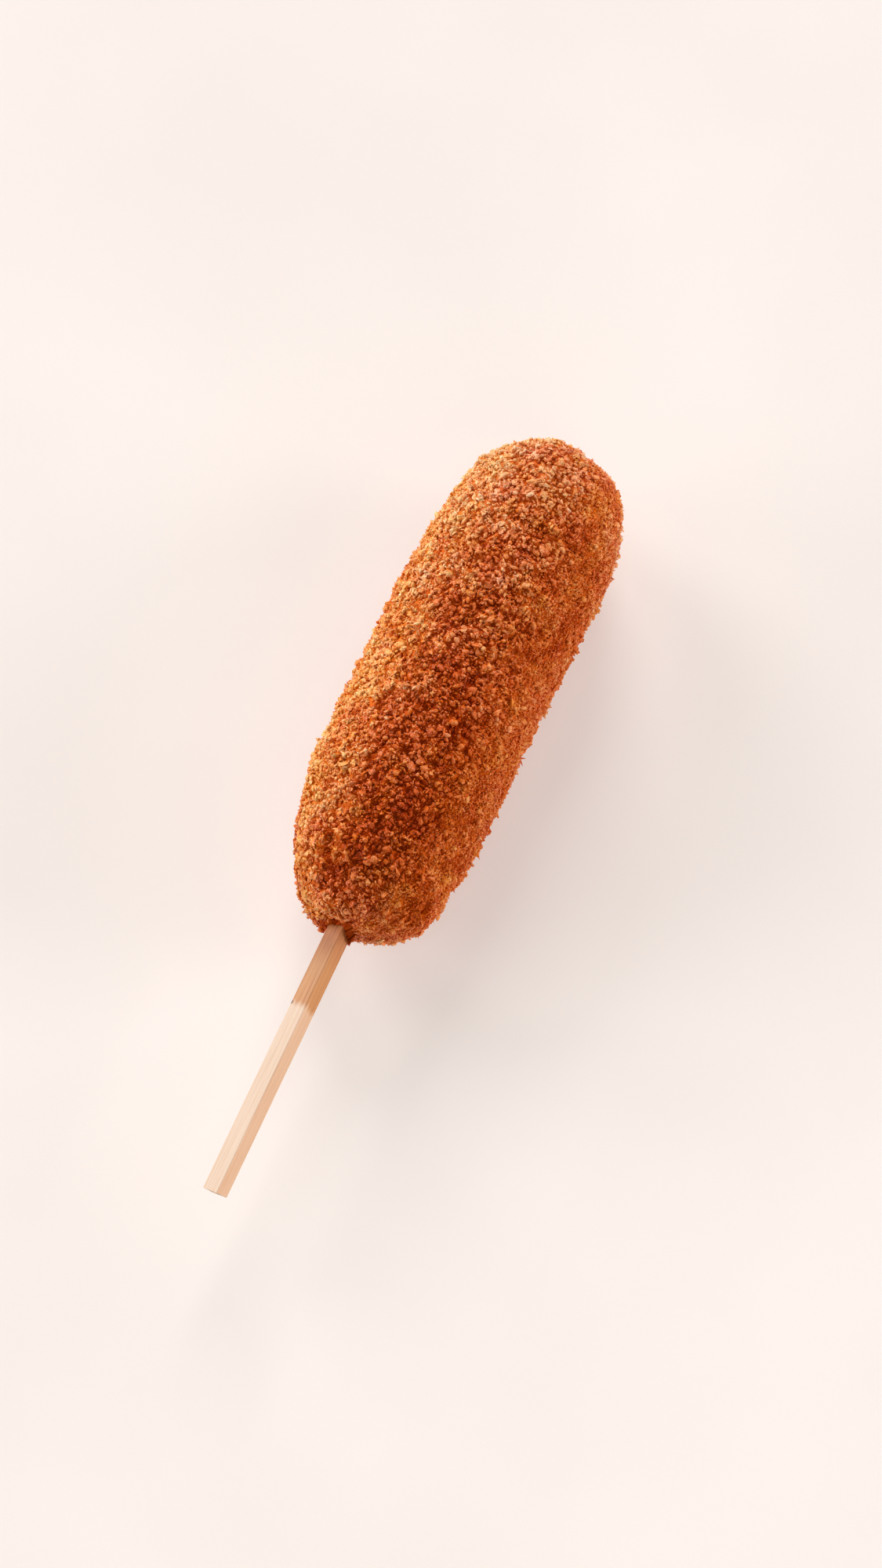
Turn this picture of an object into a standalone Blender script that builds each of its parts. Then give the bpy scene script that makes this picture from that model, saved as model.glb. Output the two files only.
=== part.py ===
"""A corn dog laid on its side: a battered, crumbed sausage on a square wooden stick.

Metres, +Z up. The food lies along Y: the bare stick points to -Y and the round tip to +Y. The
crust rests on z = 0 on a narrow flattened strip, and the origin is the middle of the bottom of the
box round the whole thing.

Both pieces are first shaped round the food's own axis, with y = 0 at its heel, where the stick goes
in. An empty then carries them to their place over the floor.
"""

import math

import bmesh
import bpy
from mathutils import Matrix, Vector, noise

# The food
FOOD_LENGTH = 0.1427
FOOD_RADIUS = 0.0232
TIP_LENGTH = 0.0343  # of the long round tip
HEEL_LENGTH = 0.0210  # of the shorter end that the stick leaves
HEEL_SQUARENESS = 1.72  # 2 is an ellipse, less is more pointed and more is squarer
TIP_SQUARENESS = 2.4
HEEL_TAPER = 0.0037  # thinner at the heel than in the middle
TAPER_LENGTH = 0.047
BOW = 0.0014  # the middle bends this far towards -X
REST_DEPTH = 0.0006  # flattened off the underside where it lies

# The uneven batter: wavelength and height of each size of lump
SWELL_WAVE, SWELL_HEIGHT = 0.038, 0.0011
LUMP_WAVE, LUMP_HEIGHT = 0.013, 0.0009

# Where the batter slumped or folded: along the food from the heel, and round it from the top
# towards +X, in degrees
SHOULDER_AT, SHOULDER_TURN = 0.011, -78.0
SHOULDER_REACH, SHOULDER_SPREAD, SHOULDER_DEPTH = 0.013, 55.0, 0.0011
FOLD_FROM, FOLD_TO = (0.0100, -20.0), (0.0190, -22.0)
CHIN_FROM, CHIN_TO = (0.0085, -16.0), (0.0145, 15.0)
FOLD_WIDTH, FOLD_DEPTH = 0.0022, 0.0007
NOTCH_ABOVE, NOTCH_WIDTH, NOTCH_DEPTH = 0.0045, 0.0042, 0.0026  # above the stick, at the heel

# The stick
STICK_SIDE = 0.0046
STICK_SHOWING = 0.0703
STICK_INSIDE = 0.1097
STICK_ROLL = math.radians(-27.4)  # one face looks up and a little towards -X
STICK_LEAN = math.radians(0.6)  # out of line with the food, its bare end towards +X
STICK_EDGE = 0.00022  # rounding of the four long edges
STICK_SLANT = math.radians(12.0)  # of the sawn end, longer above than below
GAP = 0.0003  # clear space between the stick and the hole it is pushed into
HOLE_OVERRUN = 0.02  # how far the cutter of that hole reaches out past the heel

# Fineness of the food's mesh
SIDES = 48
HEEL_STEPS, MIDDLE_STEPS, TIP_STEPS = 12, 28, 11


def clear_scene():
    for thing in list(bpy.data.objects):
        bpy.data.objects.remove(thing, do_unlink=True)


def material(name, colour, roughness):
    made = bpy.data.materials.new(name)
    made.use_nodes = True
    made.diffuse_color = (*colour, 1.0)
    shader = made.node_tree.nodes["Principled BSDF"]
    shader.inputs["Base Color"].default_value = (*colour, 1.0)
    shader.inputs["Roughness"].default_value = roughness
    shader.inputs["Metallic"].default_value = 0.0
    return made


def add_object(name, mesh, parent, finish=None):
    made = bpy.data.objects.new(name, mesh)
    bpy.context.scene.collection.objects.link(made)
    made.parent = parent
    if finish:
        mesh.materials.append(finish)
    return made


def mesh_from(bm, name):
    mesh = bpy.data.meshes.new(name)
    bm.to_mesh(mesh)
    bm.free()
    return mesh


def smooth_step(x):
    x = min(max(x, 0.0), 1.0)
    return x * x * (3.0 - 2.0 * x)


def end_radius(share, squareness):
    """The radius of a rounded end, as a share of the full one, from 0 at its pole to 1."""
    return (1.0 - (1.0 - share) ** squareness) ** (1.0 / squareness)


def food_profile():
    """Points (distance from the heel, radius) from the heel's pole to the tip's, before the lumps."""
    points = []
    for i in range(HEEL_STEPS):
        share = 1.0 - math.cos(0.5 * math.pi * i / HEEL_STEPS)
        points.append((share * HEEL_LENGTH, end_radius(share, HEEL_SQUARENESS)))
    middle = FOOD_LENGTH - HEEL_LENGTH - TIP_LENGTH
    for i in range(MIDDLE_STEPS):
        points.append((HEEL_LENGTH + middle * i / MIDDLE_STEPS, 1.0))
    for i in range(TIP_STEPS + 1):
        share = 1.0 - math.sin(0.5 * math.pi * i / TIP_STEPS)
        along = FOOD_LENGTH - share * TIP_LENGTH
        points.append((along, end_radius(share, TIP_SQUARENESS)))
    return [
        (along, share * (FOOD_RADIUS - HEEL_TAPER * (1.0 - smooth_step(along / TAPER_LENGTH))))
        for along, share in points
    ]


def turn_of(point):
    """Degrees round the axis from the top towards +X."""
    return math.degrees(math.atan2(point.x, point.z))


def noise_at(point, wavelength):
    return noise.noise(point / wavelength)


def slumped_shoulder(point):
    """The corner of the heel on the -X side, where the batter ran off and left it lower."""
    along = (point.y - SHOULDER_AT) / SHOULDER_REACH
    across = (turn_of(point) - SHOULDER_TURN) / SHOULDER_SPREAD
    return -SHOULDER_DEPTH * math.exp(-along * along - across * across)


def fold(point, start, end):
    """A groove where one tongue of batter lies against the next."""
    per_degree = math.radians(1.0) * FOOD_RADIUS
    a = Vector((start[0], start[1] * per_degree))
    b = Vector((end[0], end[1] * per_degree))
    p = Vector((point.y, turn_of(point) * per_degree))
    share = min(max((p - a).dot(b - a) / (b - a).length_squared, 0.0), 1.0)
    away = (p - a.lerp(b, share)).length / FOLD_WIDTH
    return -FOLD_DEPTH * math.exp(-away * away)


def notch(point):
    """How far the batter has drawn back along the stick, just above where the stick goes in."""
    away = Vector((point.x, point.z - NOTCH_ABOVE)).length / NOTCH_WIDTH
    return NOTCH_DEPTH * math.exp(-away * away) if point.y < HEEL_LENGTH else 0.0


def unevenness(point):
    """How far the crust stands out from the plain turned shape at this point."""
    return (
        SWELL_HEIGHT * noise_at(point, SWELL_WAVE)
        + LUMP_HEIGHT * noise_at(point, LUMP_WAVE)
        + slumped_shoulder(point)
        + fold(point, FOLD_FROM, FOLD_TO)
        + fold(point, CHIN_FROM, CHIN_TO)
    )


def food_mesh():
    bm = bmesh.new()
    outline = [bm.verts.new((radius, along, 0.0)) for along, radius in food_profile()]
    edges = [bm.edges.new(pair) for pair in zip(outline, outline[1:])]
    bmesh.ops.spin(
        bm,
        geom=outline + edges,
        cent=(0.0, 0.0, 0.0),
        axis=(0.0, 1.0, 0.0),
        angle=math.tau,
        steps=SIDES,
    )
    bmesh.ops.remove_doubles(bm, verts=bm.verts, dist=1e-6)
    bmesh.ops.recalc_face_normals(bm, faces=bm.faces)
    bm.normal_update()
    moves = [v.normal * unevenness(v.co) for v in bm.verts]
    for v, move in zip(bm.verts, moves):
        v.co += move
        v.co.y += notch(v.co)
        v.co.x -= BOW * math.sin(math.pi * v.co.y / FOOD_LENGTH)
    flatten_underside(bm)
    bmesh.ops.triangulate(bm, faces=bm.faces)
    bmesh.ops.recalc_face_normals(bm, faces=bm.faces)
    return mesh_from(bm, "breaded_food")


def flatten_underside(bm):
    """Cuts off what hangs below the height that the food lies at, and closes the cut."""
    cut = bmesh.ops.bisect_plane(
        bm,
        geom=bm.verts[:] + bm.edges[:] + bm.faces[:],
        dist=1e-6,
        plane_co=(0.0, 0.0, REST_DEPTH - FOOD_RADIUS),
        plane_no=(0.0, 0.0, 1.0),
        clear_inner=True,
    )
    rim = [e for e in cut["geom_cut"] if isinstance(e, bmesh.types.BMEdge)]
    bmesh.ops.holes_fill(bm, edges=rim, sides=len(rim))


def rod_mesh(side, showing, inside, slant):
    """A square rod along Y, turned about its axis as the stick is, with its outer end cut aslant."""
    bm = bmesh.new()
    bmesh.ops.create_cube(bm, size=1.0)
    for v in bm.verts:
        outer = v.co.y < 0.0
        v.co = Vector((v.co.x * side, -showing if outer else inside, v.co.z * side))
    roll = Matrix.Rotation(STICK_ROLL, 3, "Y")
    bmesh.ops.rotate(bm, cent=(0.0, 0.0, 0.0), matrix=roll, verts=bm.verts)
    for v in bm.verts:
        if v.co.y < 0.0:
            v.co.y -= v.co.z * math.tan(slant)
    return bm


def main():
    clear_scene()
    crust = material("crumb_crust", (0.55, 0.20, 0.045), 0.7)
    wood = material("stick_wood", (0.72, 0.50, 0.30), 0.55)

    laid = bpy.data.objects.new("laid_down", None)
    bpy.context.scene.collection.objects.link(laid)

    food = add_object("breaded_food", food_mesh(), laid, crust)
    food.data.shade_smooth()

    hole = rod_mesh(STICK_SIDE + 2 * GAP, HOLE_OVERRUN, STICK_INSIDE + GAP, 0.0)
    cutter = add_object("stick_hole_cutter", mesh_from(hole, "stick_hole_cutter"), laid)
    cutter.rotation_euler.z = STICK_LEAN
    cutter.hide_render = True
    cutter.display_type = "WIRE"
    drill = food.modifiers.new("stick_hole", "BOOLEAN")
    drill.operation = "DIFFERENCE"
    drill.object = cutter

    rod = rod_mesh(STICK_SIDE, STICK_SHOWING, STICK_INSIDE, STICK_SLANT)
    stick = add_object("stick", mesh_from(rod, "stick"), laid, wood)
    stick.rotation_euler.z = STICK_LEAN
    edges = stick.modifiers.new("eased_edges", "BEVEL")
    edges.width = STICK_EDGE
    edges.segments = 2
    edges.limit_method = "ANGLE"

    places = [v.co for v in food.data.vertices]
    left, right = min(p.x for p in places), max(p.x for p in places)
    near, far = -STICK_SHOWING, max(p.y for p in places)
    laid.location = (-0.5 * (left + right), -0.5 * (near + far), FOOD_RADIUS - REST_DEPTH)


main()
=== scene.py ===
# %% [markdown]
# # A crumbed corn dog on a wooden stick
#
# A sausage is pushed onto a square stick, dipped in batter, rolled in coarse dried bread crumbs and
# fried until it is golden brown. The solid model already holds the true shape and size of the two
# pieces, the breaded food and the stick. This lesson dresses them: a bed of fried batter, six kinds
# of crumb stuck to it one by one, and a planed stick with the oil that crept along it.
#
# ## The fixed frame
#
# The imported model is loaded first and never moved. Every place below is worked out from its boxes
# and faces, so the crumbs stay on the food whatever its size.

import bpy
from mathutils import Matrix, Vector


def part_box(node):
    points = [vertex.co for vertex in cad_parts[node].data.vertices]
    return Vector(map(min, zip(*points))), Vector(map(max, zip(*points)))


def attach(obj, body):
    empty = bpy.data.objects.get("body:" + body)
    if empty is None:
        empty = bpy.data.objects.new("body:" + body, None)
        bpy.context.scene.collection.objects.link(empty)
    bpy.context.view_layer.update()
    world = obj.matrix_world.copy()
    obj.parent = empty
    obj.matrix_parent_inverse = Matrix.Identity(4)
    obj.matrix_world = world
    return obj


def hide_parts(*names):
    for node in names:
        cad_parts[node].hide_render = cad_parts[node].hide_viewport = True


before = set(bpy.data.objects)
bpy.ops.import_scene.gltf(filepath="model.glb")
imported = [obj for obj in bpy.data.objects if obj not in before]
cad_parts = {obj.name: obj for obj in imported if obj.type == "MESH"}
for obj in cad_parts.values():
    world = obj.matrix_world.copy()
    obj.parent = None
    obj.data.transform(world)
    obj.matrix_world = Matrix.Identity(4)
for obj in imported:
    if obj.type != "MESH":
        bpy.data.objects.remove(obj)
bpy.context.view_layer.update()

# %% [markdown]
# ## Measures that the rest is worked out from
#
# The stick is a square rod that is rolled about its own length and leans a little, so a box says too
# little about it. Its largest flat faces say more: the normal of one long side, the direction of its
# length and the slanted sawn end are read from the solid itself.

# %% Read the places of the food and the stick
import math

import bpy
import numpy as np
from mathutils import Matrix, Vector, noise

MM = 0.001
food_low, food_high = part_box("breaded_food")
stick_low, stick_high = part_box("stick")
heel_y, tip_y = food_low.y, food_high.y
rod_points = np.array([v.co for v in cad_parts["stick"].data.vertices])
outer = rod_points[:, 1] < stick_low.y + 3 * MM
inner = rod_points[:, 1] > stick_high.y - 3 * MM
end_middle = Vector(rod_points[outer].mean(0))
deep_middle = Vector(rod_points[inner].mean(0))
rod_along = (deep_middle - end_middle).normalized()
rod_faces = sorted(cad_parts["stick"].data.polygons, key=lambda face: face.area)
rod_across = max((face.normal.copy() for face in rod_faces[-8:]), key=lambda n: n.z)
rod_across = (rod_across - rod_along * rod_across.dot(rod_along)).normalized()
rod_aside = rod_along.cross(rod_across)
sawn = max((face for face in rod_faces if face.normal.y < -0.9), key=lambda face: face.area)
sawn_place, sawn_normal = Vector(sawn.center), sawn.normal.copy()
rod_side = 2 * max(abs((Vector(p) - end_middle).dot(rod_across)) for p in rod_points[inner])
print(f"stick {rod_side / MM:.2f} mm square, food {(tip_y - heel_y) / MM:.1f} mm long")


def off_stick(points):
    """How far each point lies from the stick's axis, measured square, as the stick is."""
    away = points - np.array(end_middle)
    return np.maximum(np.abs(away @ np.array(rod_across)), np.abs(away @ np.array(rod_aside)))


# %% [markdown]
# ## Camera
#
# A long lens looks down at the food from near the stick's end, so the thick round food hardly tapers.
# The three directions of the view are written out, because the frame sits a little off the middle
# of the food, and that is set by sliding the camera along its own right and up.

# %% Place the camera
VIEW_TURN, VIEW_RISE = math.radians(24.5), math.radians(69.0)
LENS, SENSOR = 117.0, 36.0
DISTANCE = 1.2745
SLIDE_RIGHT, SLIDE_UP = -2.67 * MM, -23.1 * MM
view_back = Vector(
    (
        math.sin(VIEW_TURN) * math.cos(VIEW_RISE),
        -math.cos(VIEW_TURN) * math.cos(VIEW_RISE),
        math.sin(VIEW_RISE),
    )
)
view_right = Vector((math.cos(VIEW_TURN), math.sin(VIEW_TURN), 0.0))
view_up = view_back.cross(view_right)
target = Vector((0.0, heel_y + 71.35 * MM, 23.0 * MM))
place = target + view_back * DISTANCE + view_right * SLIDE_RIGHT + view_up * SLIDE_UP

bpy.ops.object.camera_add()
camera = bpy.context.object
camera.matrix_world = Matrix.LocRotScale(
    place, Matrix((view_right, view_up, view_back)).transposed(), None
)
camera.data.lens = LENS
camera.data.sensor_width = SENSOR
camera.data.clip_start = 0.01
bpy.context.scene.camera = camera
print("camera at", [round(c, 4) for c in place])

# %% [markdown]
# ## Floor and light
#
# The floor is a pale cloth, lit so evenly that it almost glows. A broad low lamp on the left rakes
# over the crumbs, which gives each one a bright side and a dark gap behind it. The world fills those
# gaps, and a weak lamp from the right keeps the far flank warm.


# %% Helpers for nodes
def new_finish(name):
    """A material with its Principled shader, and a function that adds a node with these inputs."""
    finish = bpy.data.materials.new(name)
    finish.use_nodes = True
    tree = finish.node_tree
    shader = tree.nodes["Principled BSDF"]

    def add(kind, inputs=(), **settings):
        node = tree.nodes.new(kind)
        for key, value in settings.items():
            setattr(node, key, value)
        for key, value in dict(inputs).items():
            if isinstance(value, bpy.types.NodeSocket):
                tree.links.new(value, node.inputs[key])
            else:
                node.inputs[key].default_value = value
        return node

    def join(output, socket):
        tree.links.new(output, shader.inputs[socket])

    return finish, shader, add, join


def ramp(node, *stops):
    """Sets a colour ramp's stops, each a position and a colour."""
    elements = node.color_ramp.elements
    while len(elements) < len(stops):
        elements.new(0.5)
    for element, (position, colour) in zip(elements, stops):
        element.position = position
        element.color = (*colour, 1.0)


# %% Floor
FLOOR_SIZE = 14.0
WEAVE = 0.45 * MM
bpy.ops.object.select_all(action="DESELECT")
bpy.ops.mesh.primitive_plane_add(size=FLOOR_SIZE)
floor = bpy.context.object
floor.name = "floor"
cloth, shader, add, join = new_finish("pale_cloth")
where = add("ShaderNodeTexCoord").outputs["Object"]
patchy = add("ShaderNodeTexNoise", {"Vector": where, "Scale": 9.0, "Detail": 3.0})
tint = add("ShaderNodeValToRGB", {"Fac": patchy.outputs["Fac"]})
ramp(tint, (0.35, (0.505, 0.460, 0.437)), (0.65, (0.540, 0.500, 0.477)))
join(tint.outputs["Color"], "Base Color")
weave = add("ShaderNodeTexNoise", {"Vector": where, "Scale": 1 / WEAVE, "Detail": 2.0})
raised = add(
    "ShaderNodeBump", {"Height": weave.outputs["Fac"], "Strength": 0.25, "Distance": 0.1 * MM}
)
join(raised.outputs["Normal"], "Normal")
shader.inputs["Emission Color"].default_value = (0.93, 0.86, 0.82, 1.0)
shader.inputs["Emission Strength"].default_value = 0.47
shader.inputs["Roughness"].default_value = 0.9
floor.data.materials.append(cloth)

# %% Light
LAMPS = {
    "left_lamp": (-1.0, 0.05, 0.21, 1.66),
    "corner_lamp": (-0.7, 0.7, 0.21, 1.50),
    "top_lamp": (0.0, 1.0, 0.21, 2.15),
    "right_lamp": (1.0, 0.1, 0.21, 1.92),
    "front_lamp": (0.3, -1.0, 0.62, 0.68),
    "over_lamp": (0.0, 0.0, 1.0, 0.36),
}
LAMP_SIZE = math.radians(28)
LAMP_COLOUR = (1.0, 0.97, 0.94)
SKY = 0.05


for name, (right, up, back, strength) in LAMPS.items():
    lamp = bpy.data.lights.new(name, "SUN")
    lamp.energy, lamp.angle, lamp.color = strength, LAMP_SIZE, LAMP_COLOUR
    held = bpy.data.objects.new(name, lamp)
    towards = view_right * right + view_up * up + view_back * back
    held.rotation_euler = towards.to_track_quat("Z", "Y").to_euler()
    bpy.context.scene.collection.objects.link(held)
world = bpy.data.worlds.new("studio")
world.use_nodes = True
studio = world.node_tree
glow = studio.nodes["Background"]
glow.inputs["Color"].default_value = (1.0, 0.94, 0.91, 1.0)
glow.inputs["Strength"].default_value = SKY
wall = studio.nodes.new("ShaderNodeBackground")
wall.inputs["Color"].default_value = (0.95, 0.88, 0.84, 1.0)
seen = studio.nodes.new("ShaderNodeLightPath")
either = studio.nodes.new("ShaderNodeMixShader")
studio.links.new(seen.outputs["Is Camera Ray"], either.inputs["Fac"])
studio.links.new(glow.outputs["Background"], either.inputs[1])
studio.links.new(wall.outputs["Background"], either.inputs[2])
studio.links.new(either.outputs["Shader"], studio.nodes["World Output"].inputs["Surface"])
bpy.context.scene.world = world
bpy.context.scene.view_settings.view_transform = "Standard"

# %% [markdown]
# ## The bed of fried batter
#
# Under the crumbs lies fried batter, deep brown where it shows between them, browner than the crumbs
# partly by its own colour and partly as painted shade in the gaps. It could be painted on the solid,
# but its facets would show at the outline. So a copy of the solid is remeshed into small even faces,
# smoothed, sunk a little to leave room for the crumbs, and then given real relief by displacing it,
# except inside the hole for the stick.


# %% Helpers for pieces
def copy_of(node, name):
    """A copy of a CAD node's mesh with its doubled points merged, selected and active."""
    bpy.ops.object.select_all(action="DESELECT")
    piece = bpy.data.objects.new(name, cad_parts[node].data.copy())
    bpy.context.scene.collection.objects.link(piece)
    bpy.context.view_layer.objects.active = piece
    piece.select_set(True)
    bpy.ops.object.mode_set(mode="EDIT")
    bpy.ops.mesh.select_all(action="SELECT")
    bpy.ops.mesh.remove_doubles(threshold=1e-6)
    bpy.ops.object.mode_set(mode="OBJECT")
    piece.data.materials.clear()
    return piece


def modify(piece, kind, **settings):
    """Adds one modifier with these settings and applies it."""
    step = piece.modifiers.new(kind.lower(), kind)
    for key, value in settings.items():
        setattr(step, key, value)
    bpy.context.view_layer.objects.active = piece
    bpy.ops.object.modifier_apply(modifier=step.name)


def points_of(mesh):
    found = np.empty(len(mesh.vertices) * 3, np.float32)
    mesh.vertices.foreach_get("co", found)
    return found.reshape(-1, 3).astype(float)


def soft(value, start, end):
    """0 below start, 1 above end, and smooth between."""
    share = np.clip((value - start) / (end - start), 0, 1)
    return share * share * (3 - 2 * share)


def relief(name, kind, scale, **settings):
    """A texture that drives a Displace modifier, with its grain in metres."""
    made = bpy.data.textures.new(name, kind)
    made.noise_scale = scale
    for key, value in settings.items():
        setattr(made, key, value)
    return made


# %% Remesh the crust's solid
BED_FACE = 0.56 * MM
HOLE_WALL = rod_side / 2 + 0.8 * MM
CRUMBS_BELOW = 0.45 * MM
TIP_FULLER = 0.45 * MM
WAIST, WAIST_AT, WAIST_REACH = 0.7 * MM, 22 * MM, 8 * MM
HEEL_FLATTER = 0.8 * MM
FOLD_DEPTH, FOLD_SPREAD = 0.8 * MM, 4.5
CLUMP, CLUMP_HEIGHT = 2.5 * MM, 1.2 * MM
MOUTH_DEPTH, MOUTH_REACH = 0.7 * MM, 3.2 * MM
# Places where the batter ran thicker or thinner: how far along and round, reach, spread, height
LUMPS = (
    (94 * MM, -84, 9 * MM, 45, 1.3 * MM),
    (133 * MM, -70, 8 * MM, 40, 0.3 * MM),
    (12 * MM, 95, 6 * MM, 40, 1.5 * MM),
    (2 * MM, 118, 5 * MM, 60, -2.6 * MM),
)
middle_z = 0.5 * (food_low.z + food_high.z)


def turn_of(points):
    """Degrees round the food from its top, positive towards +X."""
    return np.degrees(np.arctan2(points[:, 0], points[:, 2] - middle_z))


def clouds(points, size):
    """Soft noise from about -0.5 to 0.5, with patches of this size."""
    return np.array([noise.noise(Vector(p) / size) for p in points])


def fine_flank(points):
    """1 on the flank where only fine crumbs stuck, 0 elsewhere."""
    turn = turn_of(points)
    return soft(turn, 22, 48) * soft(-turn, -125, -95)


def clumps(points):
    """About 0.5 where crumbs stuck together in a clump and -0.5 where they left a gap."""
    return clouds(points, CLUMP) * (1 - 0.2 * fine_flank(points))


def share_along(points):
    """How far along the food each point is, from 0 at the heel to 1 at the tip."""
    return (points[:, 1] - heel_y) / (tip_y - heel_y)


def in_fold(points):
    """1 in the fold by the heel where one tongue of batter lies against the next, 0 elsewhere."""
    turn, along = turn_of(points), share_along(points)
    across = (turn + 17 + 80 * along) / FOLD_SPREAD
    return np.exp(-across * across) * soft(along, 0.05, 0.08) * soft(-along, -0.20, -0.16)


def at_mouth(points):
    """1 at the heel beside the stick, fading to 0 a few millimetres away from it."""
    away = (off_stick(points) - rod_side / 2) / MOUTH_REACH
    return np.exp(-away * away) * soft(-share_along(points), -0.12, -0.05)


def drawn_in(points):
    """How far under the solid's surface the middle of the crumbs lies, less than 0 at the tip."""
    along = points[:, 1] - heel_y
    at_tip = soft(along, tip_y - heel_y - 22 * MM, tip_y - heel_y)
    below = CRUMBS_BELOW * soft(along, 0, 12 * MM)
    waist = WAIST * np.exp(-(((along - WAIST_AT) / WAIST_REACH) ** 2))
    below += waist - (CRUMBS_BELOW + TIP_FULLER) * at_tip + HEEL_FLATTER * soft(-along, -5 * MM, 0)
    below += FOLD_DEPTH * in_fold(points) + MOUTH_DEPTH * at_mouth(points)
    below -= CLUMP_HEIGHT * clumps(points)
    for at, turn, reach, spread, height in LUMPS:
        away = ((along - at) / reach) ** 2 + ((turn_of(points) - turn) / spread) ** 2
        below -= height * np.exp(-away)
    return below


bed = copy_of("breaded_food", "batter_bed")
modify(bed, "REMESH", mode="VOXEL", voxel_size=BED_FACE)
modify(bed, "SMOOTH", factor=0.5, iterations=8)
bed_points = points_of(bed.data)
in_hole = (off_stick(bed_points) < HOLE_WALL) & (bed_points[:, 1] < deep_middle.y + 2 * MM)
bed_normals = np.array([n.vector for n in bed.data.vertex_normals])
bed_points -= bed_normals * np.where(in_hole, 0.0, drawn_in(bed_points))[:, None]
bed.data.vertices.foreach_set("co", bed_points.astype(np.float32).ravel())
bed.data.update()
bed.data.calc_loop_triangles()
bed_triangles = np.array([t.vertices for t in bed.data.loop_triangles])
print(len(bed_triangles), "triangles in the bed")

# %% Give the bed its relief
SINK = 0.25 * MM
REST = 0.05 * MM
shown = bed.vertex_groups.new(name="shown")
for index in np.flatnonzero(~in_hole):
    shown.add([int(index)], 1.0, "REPLACE")
common = {"vertex_group": "shown", "texture_coords": "LOCAL", "mid_level": 0.5}
modify(bed, "DISPLACE", strength=-SINK, mid_level=0.0, vertex_group="shown")
modify(
    bed, "DISPLACE", texture=relief("swells", "CLOUDS", 5.0 * MM), strength=0.7 * MM, **common
)
modify(
    bed, "DISPLACE", texture=relief("lumps", "VORONOI", 1.3 * MM), strength=-0.6 * MM, **common
)
modify(
    bed, "DISPLACE", texture=relief("grains", "CLOUDS", 0.7 * MM), strength=0.5 * MM, **common
)
places = points_of(bed.data)
places[:, 2] = np.maximum(places[:, 2], REST)
bed.data.vertices.foreach_set("co", places.astype(np.float32).ravel())
bed.vertex_groups.clear()
bed.data.update()
bed.select_set(True)
bpy.ops.object.shade_smooth()
print("bed from", places.min(0).round(4), "to", places.max(0).round(4))

# %% How brown the crust is at each place, with light and shade painted in
def tone_and_painted_light(points):
    """How brown the crust is painted there, from 0, pale gold, to 1, dark brown, light and shade included.

    On top of the random browning, the left side, the right flank and the tip are painted paler, partly as
    painted light, and a patch on the left towards the tip wholly as painted light. The gaps between
    clumps, the far left side, the crown, a patch by the heel, the fold and the recess round the stick
    are painted darker as painted shade, and the heel half is a little darker.
    """
    turn, along = turn_of(points), share_along(points)
    unseen = soft(-turn, 66, 100)
    # Random browning, with clumps painted paler and the gaps between them darker: painted light on the clumps and
    # painted shade in the gaps.
    deep = 0.71 + 0.22 * clouds(points, 9 * MM) - 0.33 * clumps(points)
    # The left side is painted paler, partly as painted light.
    deep -= 0.18 * soft(-turn, 5, 60) * (1 - unseen)
    # A patch on the left towards the tip is painted paler: painted light.
    deep -= 0.16 * np.exp(-(((turn + 36) / 17) ** 2) - ((along - 0.74) / 0.13) ** 2)
    # The right flank is painted a little paler, partly as painted light.
    deep -= 0.07 * soft(turn, 25, 70)
    # Paler towards the tip, partly as painted light.
    deep -= 0.16 * soft(along, 0.65, 0.95) * (1 - 0.6 * unseen)
    deep += 0.03 * soft(-along, -0.45, -0.20)
    # The far left side is painted darker: painted shade.
    deep += 0.18 * unseen
    # The crown is painted darker: painted shade.
    crown = soft(-np.abs(turn - 13), -42, -14) * soft(-along, -0.75, -0.35)
    deep += 0.16 * crown * soft(along, 0.0, 0.14)
    # A patch by the heel is painted darker: painted shade.
    deep += 0.18 * np.exp(-(((turn + 4) / 22) ** 2) - ((along - 0.16) / 0.07) ** 2)
    # The fold by the heel and the recess round the stick's mouth are painted darker: painted shade.
    deep += 0.26 * in_fold(points) + 0.34 * at_mouth(points)
    return deep


def redness(points):
    """Whether the crust leans to yellow, 0, or to red, 1."""
    turn, along = turn_of(points), share_along(points)
    red = 0.58 + 0.44 * clouds(points + 0.2, 7 * MM) + 0.32 * clouds(points + 0.3, 2.4 * MM)
    red -= 0.34 * soft(-turn, 0, 70)
    red += 0.02 * soft(along, 0.75, 1.0)
    red += 0.12 * soft(turn, 10, 60) + 0.12 * soft(-np.abs(turn - 5), -45, -20)
    red -= 0.05 * soft(-along, -0.60, -0.40) + 0.30 * soft(-turn, 50, 75)
    return red


# %% [markdown]
# ## Colours of fried crumbs
#
# Every crumb browns by its own amount, and each one is painted paler at its top and darker at its
# foot that sits in batter: a painted highlight where it stands out and painted shade in the gaps
# between crumbs. A pattern in space can't follow that, because neighbours differ. Each crumb
# therefore carries its two colour numbers in a small UV map: u says how brown it is, painted light
# and shade included, and v says whether it leans to yellow or to red. The material reads them like a
# paint chart.

# %% Finish of the crumbs
CHART = "OFBake"
GOLDEN = (
    (0.0, (0.98, 0.66, 0.27)),
    (0.25, (0.96, 0.49, 0.108)),
    (0.5, (0.90, 0.31, 0.022)),
    (0.75, (0.78, 0.162, 0.003)),
    (1.0, (0.52, 0.066, 0.001)),
)
RUSSET = (
    (0.0, (0.97, 0.58, 0.35)),
    (0.25, (0.94, 0.38, 0.155)),
    (0.5, (0.87, 0.205, 0.034)),
    (0.75, (0.72, 0.108, 0.004)),
    (1.0, (0.44, 0.038, 0.001)),
)


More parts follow.
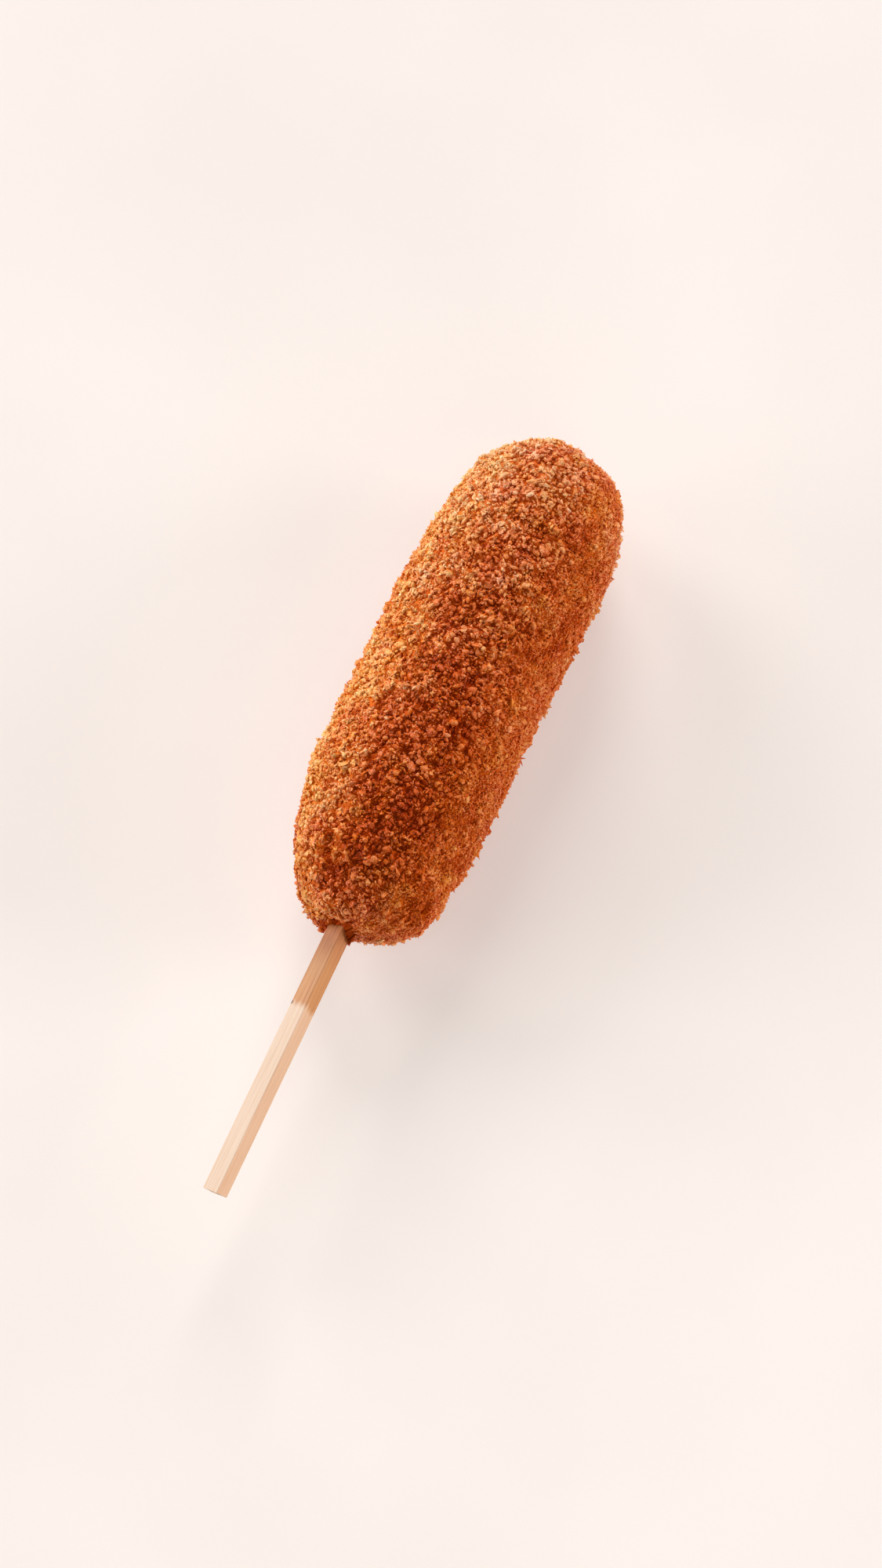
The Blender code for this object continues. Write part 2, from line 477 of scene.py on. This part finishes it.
def fried_finish(name, oiliness, gloss, pore, depth):
    """The crust's colour chart with a gloss that varies from place to place and fine pores.

    oiliness is the strength of the shine, gloss the lowest and highest roughness, pore the width
    of a pore and depth how deep it is.
    """
    finish, shader, add, join = new_finish(name)
    chart = add("ShaderNodeUVMap", uv_map=CHART)
    split = add("ShaderNodeSeparateXYZ", {"Vector": chart.outputs["UV"]})
    golden = add("ShaderNodeValToRGB", {"Fac": split.outputs["X"]})
    russet = add("ShaderNodeValToRGB", {"Fac": split.outputs["X"]})
    ramp(golden, *GOLDEN)
    ramp(russet, *RUSSET)
    both = {"Factor": split.outputs["Y"], 6: golden.outputs["Color"], 7: russet.outputs["Color"]}
    join(add("ShaderNodeMix", both, data_type="RGBA").outputs[2], "Base Color")
    where = add("ShaderNodeTexCoord").outputs["Object"]
    across = add("ShaderNodeSeparateXYZ", {"Vector": where}).outputs["X"]
    drier = {"Value": across, "From Min": 4 * MM, "From Max": 16 * MM}
    shine = add("ShaderNodeMapRange", {**drier, "To Min": oiliness, "To Max": 0.45 * oiliness})
    deep = {"Value": split.outputs["X"], "From Min": 0.60, "From Max": 1.0}
    dull = add("ShaderNodeMapRange", {**deep, "To Min": 1.25, "To Max": 0.25})
    glint = {0: shine.outputs["Result"], 1: dull.outputs["Result"]}
    join(add("ShaderNodeMath", glint, operation="MULTIPLY").outputs["Value"], "Specular IOR Level")
    oily = add("ShaderNodeTexNoise", {"Vector": where, "Scale": 1 / (1.5 * MM), "Detail": 2.0})
    rough = add(
        "ShaderNodeMapRange", {"Value": oily.outputs["Fac"], "To Min": gloss[0], "To Max": gloss[1]}
    )
    join(rough.outputs["Result"], "Roughness")
    pores = add("ShaderNodeTexNoise", {"Vector": where, "Scale": 1 / pore, "Detail": 3.0})
    pitted = add(
        "ShaderNodeBump", {"Height": pores.outputs["Fac"], "Strength": 1.0, "Distance": depth}
    )
    join(pitted.outputs["Normal"], "Normal")
    return finish


def paint(mesh, corners, chart_places):
    """Writes each corner's place on the chart, from a place for each point."""
    chart_map = mesh.uv_layers.new(name=CHART)
    on_chart = np.clip(chart_places, 0.01, 0.99)[corners]
    chart_map.data.foreach_set("uv", on_chart.astype(np.float32).ravel())


crumb_finish = fried_finish("fried_crumbs", 0.62, (0.10, 0.32), 0.30 * MM, 0.26 * MM)
bed_finish = fried_finish("fried_batter", 0.15, (0.30, 0.55), 0.45 * MM, 0.30 * MM)

# %% Paint the bed
# The bed is painted browner than the crumbs on it, partly its own colour and partly painted shade in the gaps between
# them.
BED_BROWNER_AND_SHADED, BED_FOLLOWS = 0.42, 0.6
corners = np.empty(len(bed.data.loops), np.int32)
bed.data.loops.foreach_get("vertex_index", corners)
bed_brown_and_shade = BED_BROWNER_AND_SHADED + BED_FOLLOWS * tone_and_painted_light(places)
paint(bed.data, corners, np.stack((bed_brown_and_shade, redness(places)), 1))
bed.data.materials.append(bed_finish)
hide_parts("breaded_food")
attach(bed, "root")

# %% [markdown]
# ## Crumb shapes
#
# Dried bread breaks into angular bits with flat broken faces and thin ragged edges. Each starts as a
# coarse ball of twenty faces, or a small cone for the finest grains, which is stretched or flattened
# and has its corners pushed about. A handful of shapes of each kind is enough, because every copy is
# turned and stretched differently.


# %% Make the crumb shapes
def select_faces(piece, chosen):
    """Goes into edit mode with only the faces selected for which chosen(face) is true."""
    bpy.ops.object.mode_set(mode="EDIT")
    bpy.ops.mesh.select_mode(type="FACE")
    bpy.ops.mesh.select_all(action="DESELECT")
    bpy.ops.object.mode_set(mode="OBJECT")
    for face in piece.data.polygons:
        face.select = bool(chosen(face))
    bpy.ops.object.mode_set(mode="EDIT")


def crumb_shape(coarse, stretch, ragged, cuts, seed):
    """One broken crumb about one unit long, as points and triangles; coarse is 0, 1 or 2."""
    bpy.ops.object.select_all(action="DESELECT")
    if coarse == 2:
        bpy.ops.mesh.primitive_cone_add(vertices=4, radius1=0.5, depth=0.5)
    else:
        bpy.ops.mesh.primitive_ico_sphere_add(subdivisions=2 - coarse, radius=0.5)
    crumb = bpy.context.object
    if coarse == 2:
        select_faces(crumb, lambda face: len(face.vertices) == 4)
        bpy.ops.mesh.poke(offset=0.5)
    bpy.ops.object.mode_set(mode="EDIT")
    bpy.ops.mesh.select_all(action="SELECT")
    bpy.ops.transform.vertex_random(offset=ragged, seed=seed)
    spin = Vector((math.sin(seed * 1.7), math.cos(seed * 2.3), math.sin(seed * 0.9 + 1.0)))
    for cut in range(cuts):
        spin.rotate(Matrix.Rotation(2.1, 3, "X") @ Matrix.Rotation(1.3, 3, "Z"))
        bpy.ops.mesh.select_all(action="SELECT")
        bpy.ops.mesh.bisect(
            plane_co=spin.normalized() * 0.3,
            plane_no=spin.normalized(),
            use_fill=True,
            clear_outer=True,
        )
    bpy.ops.mesh.select_all(action="SELECT")
    bpy.ops.mesh.quads_convert_to_tris()
    bpy.ops.mesh.normals_make_consistent(inside=False)
    bpy.ops.transform.resize(value=stretch)
    bpy.ops.object.mode_set(mode="OBJECT")
    crumb.data.calc_loop_triangles()
    triangles = np.array([t.vertices for t in crumb.data.loop_triangles])
    points = points_of(crumb.data)
    bpy.data.objects.remove(crumb, do_unlink=True)
    return points - points.mean(0), triangles


def crumb_shapes(how_many, coarse, stretch, ragged, cuts, seed):
    """Several shapes of one kind, and what they are made of."""
    made = [crumb_shape(coarse, stretch, ragged, cuts, seed + 7 * i) for i in range(how_many)]
    print("crumb shapes with", [len(triangles) for _, triangles in made], "triangles")
    return made


grain_shapes = crumb_shapes(8, 2, (1.0, 0.85, 0.8), 0.14, 0, 3)
chunk_shapes = crumb_shapes(10, 1, (1.0, 0.85, 0.7), 0.33, 0, 50)
flake_shapes = crumb_shapes(8, 1, (1.15, 0.85, 0.42), 0.28, 0, 120)
sliver_shapes = crumb_shapes(8, 2, (1.4, 0.42, 0.36), 0.16, 0, 200)
nugget_shapes = crumb_shapes(6, 0, (1.0, 0.8, 0.7), 0.19, 0, 300)

# %% [markdown]
# ## Stick the crumbs on
#
# Scattering could be left to Geometry Nodes, but here each crumb's colour, tilt and depth depend on
# where it lands, and that is shorter to say with arrays. A crumb's place is drawn at random over the
# bed's triangles, in proportion to their area. Drawing one from each equal step of the total area,
# along triangles sorted by place, keeps the cover even. Crumbs that would reach under the floor are
# pressed flat against it, as the weight of the food does.

# %% Where crumbs may land
CELL = 3.0 * MM


def landing_on(points, triangles):
    """Corners, outward normals and areas of triangles that crumbs may land on, sorted by place."""
    corners = points[triangles]
    normals = np.cross(corners[:, 1] - corners[:, 0], corners[:, 2] - corners[:, 0])
    doubled = np.linalg.norm(normals, axis=1)
    cells = corners.mean(1) // CELL
    order = np.lexsort((cells[:, 0], cells[:, 2], cells[:, 1]))
    return corners[order], (normals / np.maximum(doubled, 1e-12)[:, None])[order], doubled[order] / 2


on_bed = landing_on(bed_points, bed_triangles[~in_hole[bed_triangles].any(1)])
print(f"crust of {on_bed[2].sum() / MM**2:.0f} mm2 to cover")

# %% The scatter itself
rng = np.random.default_rng(20)


def random_turns(count, normals, tilt):
    """A rotation for each crumb: its own Z lies along the crust's normal, tilted at random."""
    lean = normals + tilt * rng.normal(size=(count, 3))
    up = lean / np.linalg.norm(lean, axis=1, keepdims=True)
    side = np.cross(up, rng.normal(size=(count, 3)))
    side /= np.linalg.norm(side, axis=1, keepdims=True)
    return np.stack((side, np.cross(up, side), up), axis=2)


def stick_on(name, shapes, count, length, vary, tilt, lift, browner=0.0, mixed=0.07, **how):
    """Scatters count crumbs over a surface and returns them as one piece.

    length is a crumb's mean length and vary how unequal they are. tilt is 0 for crumbs that lie
    flat, and lift is how far the middle of a crumb stands above the surface, in its own lengths.
    liking says, for the middle of each triangle, how much this kind likes to be there, and onto is
    the surface, which is the bed unless another is given.
    """
    corners, normals, areas = how.get("onto", on_bed)
    wanted = areas * how["liking"](corners.mean(1)) if "liking" in how else areas
    total = np.cumsum(wanted)
    picks = np.searchsorted(total, (np.arange(count) + rng.random(count)) / count * total[-1])
    spot = np.einsum("nk,nkd->nd", rng.dirichlet((1, 1, 1), count), corners[picks])
    normal = normals[picks]
    size = length * np.exp(vary * np.clip(rng.normal(size=count), -2, 2))
    stretch = np.exp(0.18 * np.clip(rng.normal(size=(count, 3)), -2, 2)) * size[:, None]
    turn = random_turns(count, normal, tilt)
    spot = spot + normal * (lift * size)[:, None]
    calm = 1 - 0.6 * fine_flank(spot)
    brown = tone_and_painted_light(spot) + browner + mixed * calm * rng.normal(size=count)
    red = redness(spot) + 0.06 * rng.normal(size=count)
    kind = rng.integers(len(shapes), size=count)
    points, triangles, chart_places, first = [], [], [], 0
    for index, (shape, faces) in enumerate(shapes):
        own = np.flatnonzero(kind == index)
        local = shape[None] * stretch[own][:, None]
        placed = np.einsum("nij,nkj->nki", turn[own], local)
        height = np.einsum("nki,ni->nk", placed, normal[own]) / size[own][:, None]
        # Painted highlight and shade: each crumb's top is painted paler and its foot, down between the crumbs, darker.
        painted_light_by_height = (0.62 - 0.30 * brown[own]) * calm[own]
        u = brown[own][:, None] - painted_light_by_height[:, None] * height
        v = red[own][:, None] + 0.10 * local[:, :, 0] / size[own][:, None]
        placed += spot[own][:, None]
        points.append(placed.reshape(-1, 3))
        chart_places.append(np.stack((u, v), 2).reshape(-1, 2))
        starts = first + np.arange(len(own)) * len(shape)
        triangles.append((faces[None] + starts[:, None, None]).reshape(-1, 3))
        first += len(own) * len(shape)
    piece = crumb_piece(name, *map(np.concatenate, (points, triangles, chart_places)))
    if how.get("rounded", True):
        piece.data.shade_smooth()
    return piece


def crumb_piece(name, points, triangles, chart_places):
    """One mesh object from arrays of points, triangles and places on the colour chart."""
    points[:, 2] = np.where(points[:, 2] < REST, REST + 0.02 * (REST - points[:, 2]), points[:, 2])
    mesh = bpy.data.meshes.new(name)
    mesh.from_pydata(points, [], triangles.tolist())
    paint(mesh, triangles.ravel(), chart_places)
    mesh.materials.append(crumb_finish)
    piece = bpy.data.objects.new(name, mesh)
    bpy.context.scene.collection.objects.link(piece)
    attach(piece, "root")
    print(f"{name}: {len(triangles)} triangles")
    return piece


# %% Likings: coarse crumbs on the top and left, fine ones on the right flank
def likes_flank(points):
    return 0.55 + 0.9 * fine_flank(points)


def likes_top(points):
    return (1.0 - 0.75 * fine_flank(points)) * (1.0 - 0.6 * in_fold(points))


# %% Scatter each kind
chunks = stick_on("crumb_chunks", chunk_shapes, 6000, 1.15 * MM, 0.26, 0.7, 0.12, -0.03, liking=likes_top)
flakes = stick_on("crumb_flakes", flake_shapes, 6000, 1.25 * MM, 0.28, 0.8, 0.20, -0.06, liking=likes_top, rounded=False)
slivers = stick_on("crumb_slivers", sliver_shapes, 8000, 1.05 * MM, 0.26, 0.65, 0.24, -0.04, rounded=False)
nuggets = stick_on("crumb_nuggets", nugget_shapes, 420, 1.6 * MM, 0.16, 0.5, 0.10, -0.05, liking=likes_top)
tufts = stick_on("crumb_tufts", flake_shapes, 900, 1.35 * MM, 0.25, 1.5, 0.40, -0.10, liking=likes_top)
pale = stick_on("pale_flakes", flake_shapes, 120, 1.6 * MM, 0.15, 0.4, 0.26, -0.28, 0.05, liking=likes_top)
grains = stick_on("fine_grains", grain_shapes, 23000, 0.64 * MM, 0.25, 0.8, 0.20, 0.0, liking=likes_flank, rounded=False)

flour = stick_on("fine_flour", grain_shapes, 20000, 0.50 * MM, 0.25, 0.9, 0.16, 0.02, liking=likes_flank, rounded=False)


# %% Dust on the crumbs
def landing_on_crumbs(*pieces):
    """The outer sides of these crumbs, as a surface for finer ones."""
    found = []
    for piece in pieces:
        points = points_of(piece.data)
        triangles = np.array([p.vertices for p in piece.data.polygons])
        found.append(landing_on(points, triangles))
    corners, normals, areas = map(np.concatenate, zip(*found))
    middles = corners.mean(1)
    axis = np.stack((np.zeros(len(middles)), middles[:, 1], np.full(len(middles), middle_z)), 1)
    axis[:, 1] = np.clip(middles[:, 1], heel_y + 15 * MM, tip_y - 23 * MM)
    outward = middles - axis
    outward /= np.linalg.norm(outward, axis=1, keepdims=True)
    out = np.einsum("nd,nd->n", outward, normals) > 0.25
    return corners[out], normals[out], areas[out]


on_crumbs = landing_on_crumbs(chunks, flakes, slivers, nuggets, pale)
dust = stick_on("crumb_dust", grain_shapes, 24000, 0.46 * MM, 0.30, 0.9, 0.12, -0.09, 0.12, onto=on_crumbs, rounded=False)

# %% [markdown]
# ## The stick
#
# The stick is planed from pale wood, so its faces are flat but carry fine grooves along the grain,
# and its long edges are barely eased. It is modelled from a cube: stretched to length, its edges
# bevelled, cut across by subdividing, and cut off aslant where the solid's sawn end is.

# %% Model the stick
EDGE = 0.22 * MM
LENGTHS, STRIPS = 90, 9
rod_length = (deep_middle - end_middle).length
bpy.ops.object.select_all(action="DESELECT")
bpy.ops.mesh.primitive_cube_add(size=1.0)
rod = bpy.context.object
rod.name = "planed_stick"
bpy.ops.object.mode_set(mode="EDIT")
bpy.ops.mesh.select_all(action="SELECT")
bpy.ops.transform.resize(value=(rod_side, rod_length + 8 * MM, rod_side))
bpy.ops.object.mode_set(mode="OBJECT")
for edge in rod.data.edges:
    ends = [rod.data.vertices[i].co for i in edge.vertices]
    edge.select = abs(ends[0].y - ends[1].y) > rod_length / 2
bpy.ops.object.mode_set(mode="EDIT")
bpy.ops.mesh.select_mode(type="EDGE")
bpy.ops.mesh.bevel(offset=EDGE, segments=2, profile=0.5)
bpy.ops.object.mode_set(mode="OBJECT")
print("stick", [round(d / MM, 2) for d in rod.dimensions], "mm")


# %% Cut the stick into strips, set it in place and saw its end
def cut_where(piece, chosen, cuts):
    """Subdivides the edges that chosen(a, b) picks, so that new edges run from one to the next."""
    bpy.ops.object.mode_set(mode="EDIT")
    bpy.ops.mesh.select_all(action="DESELECT")
    bpy.ops.object.mode_set(mode="OBJECT")
    for edge in piece.data.edges:
        a, b = [piece.data.vertices[i].co for i in edge.vertices]
        edge.select = bool(chosen(a, b))
    bpy.ops.object.mode_set(mode="EDIT")
    bpy.ops.mesh.subdivide(number_cuts=cuts)
    bpy.ops.object.mode_set(mode="OBJECT")


cut_where(rod, lambda a, b: abs(a.y - b.y) < EDGE and (a - b).length > rod_side / 2, STRIPS)
cut_where(rod, lambda a, b: abs(a.y - b.y) > rod_length / 2, LENGTHS)
rod.data.transform(
    Matrix.LocRotScale(
        (end_middle + deep_middle) / 2,
        Matrix((rod_across, rod_along, -rod_aside)).transposed(),
        None,
    )
)
for place, normal in ((sawn_place, sawn_normal), (deep_middle, rod_along)):
    bpy.ops.object.mode_set(mode="EDIT")
    bpy.ops.mesh.select_all(action="SELECT")
    bpy.ops.mesh.bisect(plane_co=place, plane_no=normal, use_fill=True, clear_outer=True)
    bpy.ops.object.mode_set(mode="OBJECT")
rod_places = points_of(rod.data)
print("stick from", rod_places.min(0).round(4), "to", rod_places.max(0).round(4))

# %% Finish of the stick: grain
wood, shader, add, join = new_finish("planed_wood")
where = add("ShaderNodeTexCoord").outputs["Object"]
drawn_out = add("ShaderNodeMapping", {"Vector": where, "Scale": (1.0, 0.02, 1.0)}).outputs["Vector"]
grain = add("ShaderNodeTexNoise", {"Vector": drawn_out, "Scale": 1 / (0.42 * MM), "Detail": 4.0})
streaks = grain.outputs["Fac"]


def grained(pale, middle, deep):
    """Colours of the wood over its grain, from the deep streaks to the pale ones."""
    node = add("ShaderNodeValToRGB", {"Fac": streaks})
    ramp(node, (0.3, deep), (0.5, middle), (0.7, pale))
    return node.outputs["Color"]


def shade(factor, first, second):
    """One colour where the factor is 0 and the other where it is 1."""
    inputs = {"Factor": factor, 6: first, 7: second}
    return add("ShaderNodeMix", inputs, data_type="RGBA").outputs[2]


def along_range(value, start, end, low=0.0, high=1.0):
    inputs = {"Value": value, "From Min": start, "From Max": end, "To Min": low, "To Max": high}
    return add("ShaderNodeMapRange", inputs).outputs["Result"]


# Each face of the one wood gets its own colours, as it looks in its light: painted light on the left face and painted
# shade on the right.
clean_left_as_lit = grained((0.70, 0.545, 0.43), (0.665, 0.50, 0.38), (0.61, 0.43, 0.30))
clean_right_as_lit = grained((0.80, 0.505, 0.325), (0.77, 0.465, 0.285), (0.71, 0.405, 0.235))
oiled_left_as_lit = grained((0.58, 0.295, 0.135), (0.50, 0.228, 0.086), (0.36, 0.138, 0.045))
oiled_right_as_lit = grained((0.65, 0.290, 0.098), (0.595, 0.245, 0.071), (0.52, 0.195, 0.050))

# %% Finish of the stick: faces coloured as lit, oil and batter
# Mask of the right face, which gets the colours painted as it is lit.
ridge = rod_aside - rod_across
over = add("ShaderNodeVectorMath", {0: where, 1: tuple(ridge)}, operation="DOT_PRODUCT")
edge = end_middle.dot(ridge)
right_face_shading = along_range(over.outputs["Value"], edge - 0.2 * MM, edge + 0.2 * MM)
clean = shade(right_face_shading, clean_left_as_lit, clean_right_as_lit)
oiled = shade(right_face_shading, oiled_left_as_lit, oiled_right_as_lit)
STAIN_END = heel_y - 19.4 * MM
creeping = add("ShaderNodeTexNoise", {"Vector": drawn_out, "Scale": 1 / (1.1 * MM), "Detail": 2.0})
slanted = add("ShaderNodeVectorMath", {0: where, 1: (0.15, 1.0, 0.0)}, operation="DOT_PRODUCT")
reach = along_range(creeping.outputs["Fac"], 0.3, 0.7, -1.0 * MM, 1.0 * MM)
soaked = add("ShaderNodeMath", {0: slanted.outputs["Value"], 1: reach}, operation="ADD")
stain = along_range(soaked.outputs["Value"], STAIN_END - 0.9 * MM, STAIN_END + 0.9 * MM)
colour = shade(stain, clean, oiled)
battered = grained((0.62, 0.23, 0.065), (0.50, 0.16, 0.038), (0.36, 0.10, 0.020))
place_y = add("ShaderNodeSeparateXYZ", {"Vector": where}).outputs["Y"]
smeared = add("ShaderNodeMath", {0: place_y, 1: reach}, operation="ADD").outputs["Value"]
close_by = along_range(smeared, heel_y - 8.0 * MM, heel_y + 0.5 * MM, 0.0, 0.9)
colour = shade(close_by, colour, battered)
speck = end_middle + rod_along * (STAIN_END - end_middle.y) + (rod_across - rod_aside) * rod_side / 2
near = add("ShaderNodeVectorMath", {0: where, 1: tuple(speck)}, operation="DISTANCE")
burnt = grained((0.20, 0.09, 0.05), (0.15, 0.06, 0.03), (0.10, 0.04, 0.02))
mark = along_range(near.outputs["Value"], 0.35 * MM, 0.8 * MM, 0.9, 0.0)
colour = shade(mark, colour, burnt)
depth = add("ShaderNodeVectorMath", {0: where, 1: tuple(sawn_normal)}, operation="DOT_PRODUCT")
sawn_at = sawn_place.dot(sawn_normal)
at_end = along_range(depth.outputs["Value"], sawn_at - 0.12 * MM, sawn_at - 0.03 * MM)
ends = add("ShaderNodeTexNoise", {"Vector": where, "Scale": 1 / (0.22 * MM), "Detail": 3.0})
end_grain = add("ShaderNodeValToRGB", {"Fac": ends.outputs["Fac"]})
ramp(end_grain, (0.35, (0.40, 0.24, 0.13)), (0.5, (0.62, 0.44, 0.29)), (0.65, (0.72, 0.55, 0.39)))
join(shade(at_end, colour, end_grain.outputs["Color"]), "Base Color")
join(along_range(streaks, 0.0, 1.0, 0.42, 0.62), "Roughness")
grooved = add("ShaderNodeBump", {"Height": streaks, "Strength": 0.5, "Distance": 0.1 * MM})
join(grooved.outputs["Normal"], "Normal")
rod.data.materials.append(wood)
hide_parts("stick")
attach(rod, "root")
